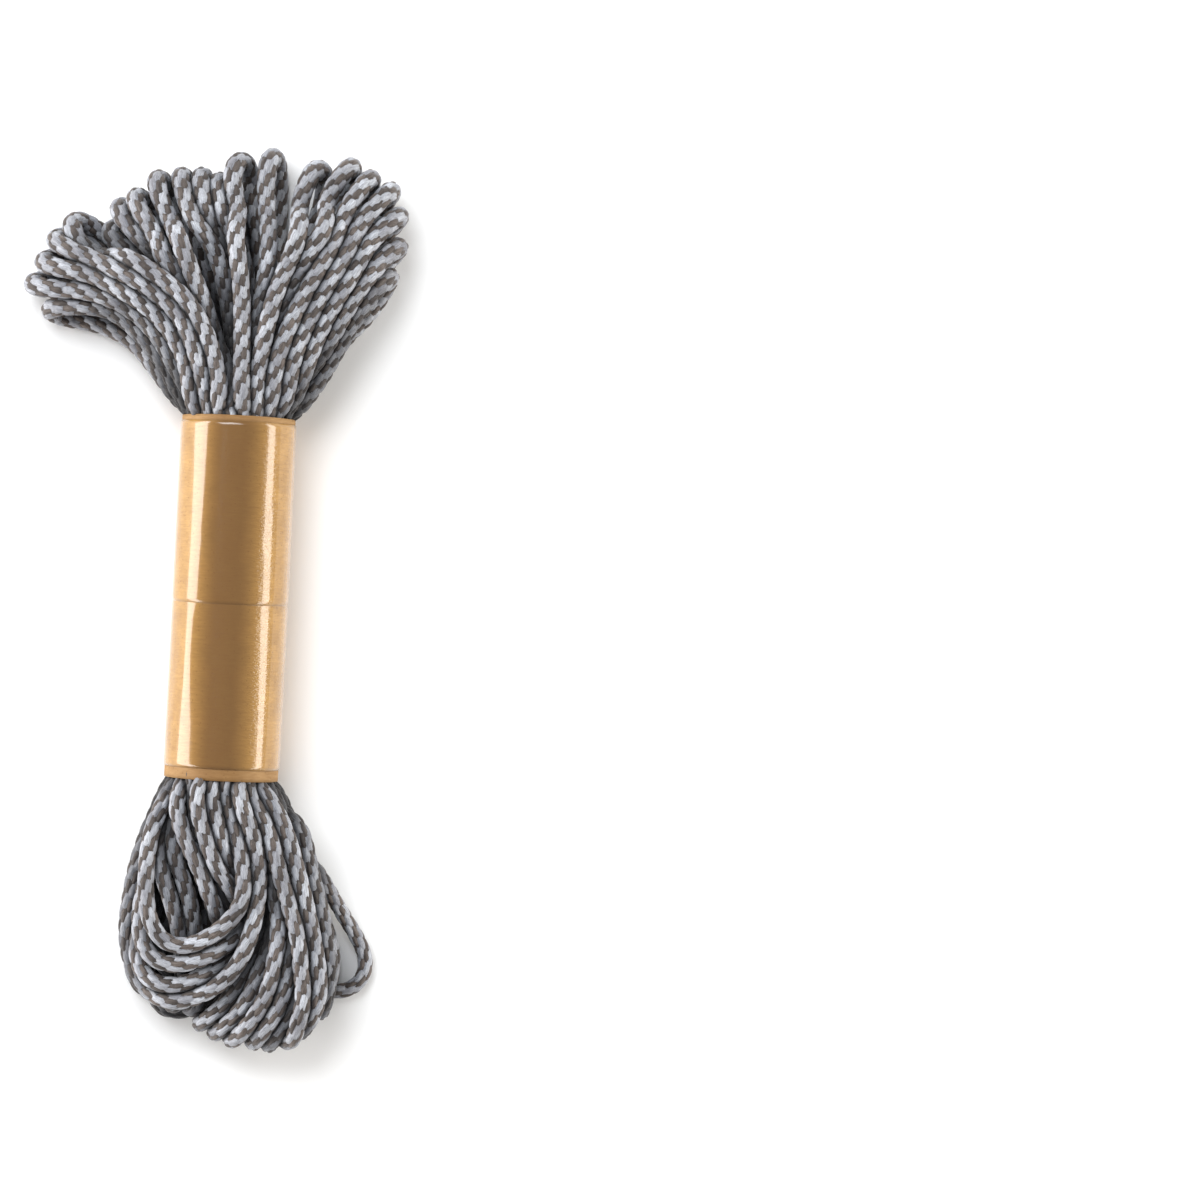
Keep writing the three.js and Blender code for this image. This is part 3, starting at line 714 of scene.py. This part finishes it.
def makeTwine():
    x, kinds = windTwine()
    print(f"route: {len(x)} points, {np.linalg.norm(np.diff(x, axis=0), axis=1).sum():.0f} mm")
    x = settle(x, kinds, twine["rounds"])
    rings, hidden, along = ringsAlong(x, kinds)
    print(f"settled: {len(rings)} rings")
    material = twineMaterial()
    tree = twineTree(material)
    inputs = {item.name: item.identifier for item in tree.interface.items_tree if item.in_out == "INPUT"}
    deep = np.abs((rings - centre) @ axis)
    cuts = [0]
    for k in range(1, twine["pieces"]):
        wanted = k * len(rings) / twine["pieces"]
        inside = np.nonzero(hidden & (deep < twine["cutWithin"]))[0]
        cuts.append(int(inside[np.argmin(np.abs(inside - wanted))]))
    cuts.append(len(rings) - 1)
    for k, (a, b) in enumerate(zip(cuts[:-1], cuts[1:])):
        path = rings[a:b + 1] * mm
        mesh = bpy.data.meshes.new(f"twineRoute{k}")
        mesh.from_pydata(path.tolist(), [(j, j + 1) for j in range(len(path) - 1)], [])
        for name in ("along", "plump", "open"):
            kept = mesh.attributes.new(name, "FLOAT", "POINT")
            kept.data.foreach_set("value", along[name][a:b + 1].astype(np.float32))
        route = bpy.data.objects.new(f"twineRoute{k}", mesh)
        scene.collection.objects.link(route)
        modifier = route.modifiers.new("braid", "NODES")
        modifier.node_group = tree
        for name, value in (("Diameter", twine["diameter"] * mm), ("Sides", twine["sides"]),
                            ("Relief", braid["relief"]), ("Material", material)):
            modifier[inputs[name]] = value
        seen = bpy.context.evaluated_depsgraph_get()
        made = bpy.data.meshes.new_from_object(route.evaluated_get(seen), depsgraph=seen)
        route.modifiers.remove(modifier)
        bpy.data.objects.remove(route)
        surface = np.array([v.co for v in made.vertices]).reshape(-1, twine["sides"], 3) / mm
        clear = creases(surface, along["index"][a:b + 1], x)
        kept = made.attributes.new("clear", "FLOAT", "POINT")
        kept.data.foreach_set("value", clear.ravel().astype(np.float32))
        made.name = f"twine_{k + 1}"
        piece = bpy.data.objects.new(f"twine_{k + 1}", made)
        scene.collection.objects.link(piece)
        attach(piece, "root")
        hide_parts("hank")
        length = float(np.linalg.norm(np.diff(path, axis=0), axis=1).sum())
        print(f"twine {k + 1}: {length * 1000:.0f} mm, {len(made.polygons) * 2} triangles")


makeTwine()

band = {
    "halfWidth": 7.56, "halfDepth": 7.12, "square": 0.96,  # the paper's outline
    "overlap": 38.0, "seam": 262.0,  # degrees, under the skein
    "thick": 0.18, "tapeThick": 0.02,
    "around": 180, "up": 90,  # faces round the paper and along it
    "lump": 0.05, "crease": 0.05, "creases": 14,
    # the paper's colours on top and, paler, down its sides: painted side light and painted shade on top
    "taped": srgb(116, 85, 46), "tapedSidesPaintedLight": srgb(190, 147, 82), "bare": srgb(150, 114, 70),
    "bareSidesPaintedLight": srgb(172, 136, 90), "fibre": srgb(104, 70, 36),
    "top": 0.738, "rippled": 0.634,  # places across the wrap: the top, and where the tape is finely wrinkled
    # a flatter place on the left: degrees round the band, then millimetres along it and into it
    "dent": {"at": 130.0, "wide": 16.0, "heights": [-23, -17, -8, -3, 0, 24],
             "deep": [0.2, 0.17, -0.1, -0.06, 0.12, 0.12]},
    # low and high: the ends of each piece; lift: off the paper; arch: how much its ends curve
    "pieces": {
        "paper_band": {"low": -24.1, "high": 24.0, "lift": 0.0, "arch": 0.28},
        "tape_band_upper": {"low": -0.7, "high": 23.3, "lift": 0.18, "arch": 0.2, "seed": 11},
        "tape_band_lower": {"low": -22.6, "high": 1.3, "lift": 0.13, "arch": 0.2, "seed": 12},
    },
}


def bandOutline(degrees, extra):
    a = np.radians(degrees)
    u = (band["halfWidth"] + extra) * np.sign(np.cos(a)) * np.abs(np.cos(a)) ** band["square"]
    z = (band["halfDepth"] + extra) * np.sign(np.sin(a)) * np.abs(np.sin(a)) ** band["square"]
    return u, np.maximum(wrap["middle"] + z, 0.02)


def bandShell(name, row, wave):
    low, high, lift = row["low"], row["high"], row["lift"]
    angles = np.linspace(band["seam"] - 360 - band["overlap"], band["seam"], band["around"])
    heights = np.linspace(low, high, round(band["up"] * (high - low) / wrap["length"]))
    a, h = np.meshgrid(angles, heights)
    step = np.clip((a - band["seam"] + band["overlap"] * 1.2) / 8, 0, 1)  # where the paper climbs on itself
    rise = lift + step * (0 if lift else band["thick"] + 0.05)
    u, z = bandOutline(a, rise + wave(a, h))
    h = h + row["arch"] * np.sin(np.radians(a)) * (h - (low + high) / 2) / (high - low) * 2
    points = centre + axis * h[..., None] + across * u[..., None] + np.array([0, 0, 1.0]) * z[..., None]
    rows, columns = a.shape
    faces = [(r * columns + c, r * columns + c + 1, (r + 1) * columns + c + 1, (r + 1) * columns + c)
             for r in range(rows - 1) for c in range(columns - 1)]
    mesh = bpy.data.meshes.new(name)
    mesh.from_pydata((points.reshape(-1, 3) * mm).tolist(), [], [f[::-1] for f in faces])
    uv = mesh.uv_layers.new(name="wrap")
    corners = np.array(faces)[:, ::-1].ravel()
    girth, span = 46.5, 50.0  # the paper's girth, and what one unit of the map covers
    flat = np.stack([a.ravel()[corners] / 360 * girth, h.ravel()[corners]], axis=1).astype(np.float32)
    uv.data.foreach_set("uv", (flat / span + 0.5).ravel())
    for polygon in mesh.polygons:
        polygon.use_smooth = True
    piece = bpy.data.objects.new(name, mesh)
    scene.collection.objects.link(piece)
    return piece


def waves(seed, size, creases):
    # Gentle lumps all over and a number of short creases, as heights in millimetres.
    source = np.random.default_rng(seed)
    sines = [(source.integers(2, 9), source.uniform(0.02, 0.12), source.uniform(0, 6.3),
              source.uniform(0.3, 1)) for _ in range(10)]
    folds = [(source.uniform(0, 360), source.uniform(-24, 24), source.uniform(-8, 8),
              source.uniform(1.2, 3), source.uniform(0.3, 1)) for _ in range(creases)]

    def wave(a, h):
        total = sum(np.sin(np.radians(a) * n + h * f + p) * w for n, f, p, w in sines) * size / 3
        for where, middle, slope, wide, deep in folds:
            beside = (a - where - slope * (h - middle) * 0.3) / wide
            total = total - np.exp(-beside ** 2 - ((h - middle) / 7) ** 2) * deep * size * 0.8
        return total
    return wave


def paperMaterial(name, taped):
    # Dark fibres and specks in the paper, with painted light and shade: paler down its sides, darker on top.
    # Taped paper is glossy.
    material, board = newMaterial(name)
    spot = board.out(board.put("ShaderNodeTexCoord"), "Object")
    broad = board.out(board.put("ShaderNodeTexNoise", None,
                                {"Vector": spot, "Scale": 260.0, "Detail": 4.0, "Roughness": 0.6}))
    uv = board.put("ShaderNodeUVMap", {"uv_map": "wrap"})
    stretched = board.put("ShaderNodeMapping", None, {"Vector": board.out(uv), "Scale": (30.0, 170.0, 1.0)})
    fibres = board.out(board.put("ShaderNodeTexNoise", None,
                                 {"Vector": board.out(stretched), "Scale": 1.0, "Detail": 5.0,
                                  "Roughness": 0.65, "Distortion": 0.6}))
    specks = board.put("ShaderNodeTexVoronoi", {"feature": "F1"}, {"Vector": spot, "Scale": 1500.0})
    speck = board.out(specks, "Distance") < 0.16
    place = board.out(board.put("ShaderNodeSeparateXYZ", None, {0: board.out(uv)}))
    offTop = board.sum("ABSOLUTE", place - band["top"]) + (broad - 0.5) * 0.06
    # painted light: the colour turns paler away from the top, towards the sides where the side lamps fall
    beside = board.put("ShaderNodeMapRange", {"interpolation_type": "SMOOTHSTEP"},
                       {"Value": offTop, "From Min": 0.02, "From Max": 0.12})
    tone = board.put("ShaderNodeMapRange", None, {"Value": fibres, "From Min": 0.2, "From Max": 0.8})
    middle, sides = (band["taped"], band["tapedSidesPaintedLight"]) if taped else (band["bare"], band["bareSidesPaintedLight"])
    colour = board.mix(board.out(beside), middle, sides)
    colour = board.mix(board.out(tone) * 0.5, colour, band["fibre"])
    colour = board.mix(speck * 0.35, colour, band["fibre"])
    cloud = board.put("ShaderNodeMapRange", None,
                      {"Value": broad, "From Min": 0.35, "From Max": 0.7, "To Max": 0.35})
    colour = board.mix(board.out(cloud), colour, band["fibre"])
    height = fibres * 0.6 + broad * 0.4
    if taped:
        ripples = board.put("ShaderNodeMapping", None, {"Vector": board.out(uv), "Scale": (16.0, 60.0, 1.0)})
        ripples = board.put("ShaderNodeTexNoise", None, {"Vector": board.out(ripples), "Detail": 2.0})
        here = board.put("ShaderNodeMapRange", {"interpolation_type": "SMOOTHSTEP"},
                         {"Value": board.sum("ABSOLUTE", place - band["rippled"]),
                          "From Min": 0.02, "From Max": 0.06, "To Min": 6.0, "To Max": 0.4})
        height = height + board.out(ripples) * board.out(here)
        deep, strength, smooth, rough, shine = 0.00004, 0.35, 0.1, 0.2, 0.4
    else:
        deep, strength, smooth, rough, shine = 0.0001, 0.8, 0.6, 0.8, 0.3
    bump = board.put("ShaderNodeBump", None, {"Height": height, "Distance": deep, "Strength": strength})
    uneven = board.put("ShaderNodeMapRange", None, {"Value": fibres, "From Min": 0.3, "From Max": 0.7,
                                                    "To Min": smooth, "To Max": rough})
    values = {"Base Color": colour, "Roughness": board.out(uneven), "Normal": board.out(bump),
              "Specular IOR Level": shine}
    if taped:
        values.update({"Coat Weight": 1.0, "Coat Roughness": 0.03, "Coat IOR": 1.4})
    shader = board.put("ShaderNodeBsdfPrincipled", None, values)
    board.put("ShaderNodeOutputMaterial", None, {"Surface": board.out(shader)})
    return material


def makeBand():
    paper, film = paperMaterial("kraftPaper", False), paperMaterial("tapedPaper", True)
    dent, lumps = band["dent"], waves(3, band["lump"], 0)

    def onPaper(a, h):
        # On the left the band is flat along the upper tape, rounder below the seam, then flat again.
        deep = np.interp(h, dent["heights"], dent["deep"])
        return lumps(a, h) - deep * np.exp(-((a - dent["at"]) / dent["wide"]) ** 2)

    def onTape(upper, crease):
        def wave(a, h):
            edge = -0.04 * np.clip((0.5 - h) / 1.2, 0, 1) if upper else 0
            # the creases stop where the two tapes overlap
            return onPaper(a, h) + crease(a, h) * 0.5 * np.clip(np.abs(h - 0.3) / 3, 0, 1) + edge
        return wave

    for name, row in band["pieces"].items():
        if name == "paper_band":
            wave, material, node, slot, thick = onPaper, paper, "band", "kraft_paper", band["thick"]
        else:
            upper, crease = name.endswith("upper"), waves(row["seed"], band["crease"], band["creases"])
            wave, material, node = onTape(upper, crease), film, "tape_upper" if upper else "tape_lower"
            slot, thick = "clear_tape", band["tapeThick"]
        piece = bandShell(name, row, wave)
        piece.data.materials.append(material)
        solid = piece.modifiers.new("thickness", "SOLIDIFY")
        solid.thickness, solid.offset = thick * mm, -1.0
        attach(piece, "root")
        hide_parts(node)
    print("band and tape made")


makeBand()

lights = {
    "left": {"at": (-0.5, 0.0, 0.12), "facing": (1, 0, -0.1), "size": (1.1, 0.21), "power": 5.7,
             "colour": (1.0, 0.96, 0.93)},
    "right": {"at": (0.5, 0.0, 0.18), "facing": (-1, 0, -0.25), "size": (1.1, 0.14), "power": 4.2,
              "colour": (1.0, 0.96, 0.9)},
    "above": {"at": (-0.2, 0.4, 0.7), "facing": (0.2, -0.4, -0.7), "size": (0.5, 0.5), "power": 6.0,
              "colour": (0.94, 0.97, 1.0)},
}


def makeStage():
    mesh = bpy.data.meshes.new("floor")
    mesh.from_pydata([(-2, -2, 0), (2, -2, 0), (2, 2, 0), (-2, 2, 0)], [], [(0, 1, 2, 3)])
    floor = bpy.data.objects.new("floor", mesh)
    scene.collection.objects.link(floor)
    material, board = newMaterial("paleFloor")
    shader = board.put("ShaderNodeBsdfPrincipled", None,
                       {"Base Color": (0.93, 0.93, 0.93, 1), "Roughness": 0.9, "Specular IOR Level": 0.1})
    board.put("ShaderNodeOutputMaterial", None, {"Surface": board.out(shader)})
    mesh.materials.append(material)
    print("floor laid")
    for name, row in lights.items():
        lamp = bpy.data.lights.new(name, "AREA")
        lamp.shape, (lamp.size, lamp.size_y) = "RECTANGLE", row["size"]
        lamp.energy, lamp.color = row["power"], row["colour"]
        light = bpy.data.objects.new(name, lamp)
        light.location = row["at"]
        turned = Vector(row["facing"]).to_track_quat("-Z", "Y")
        light.rotation_euler = turned.to_euler()
        scene.collection.objects.link(light)
    world = bpy.data.worlds.new("studio")
    scene.world = world
    world.use_nodes = True
    board = Board(world.node_tree)
    back = board.put("ShaderNodeBackground", None, {"Color": (0.96, 0.98, 1.0, 1), "Strength": 0.34})
    board.put("ShaderNodeOutputWorld", None, {"Surface": board.out(back)})
    scene.view_settings.view_transform = "Standard"
    print("studio lit")


makeStage()
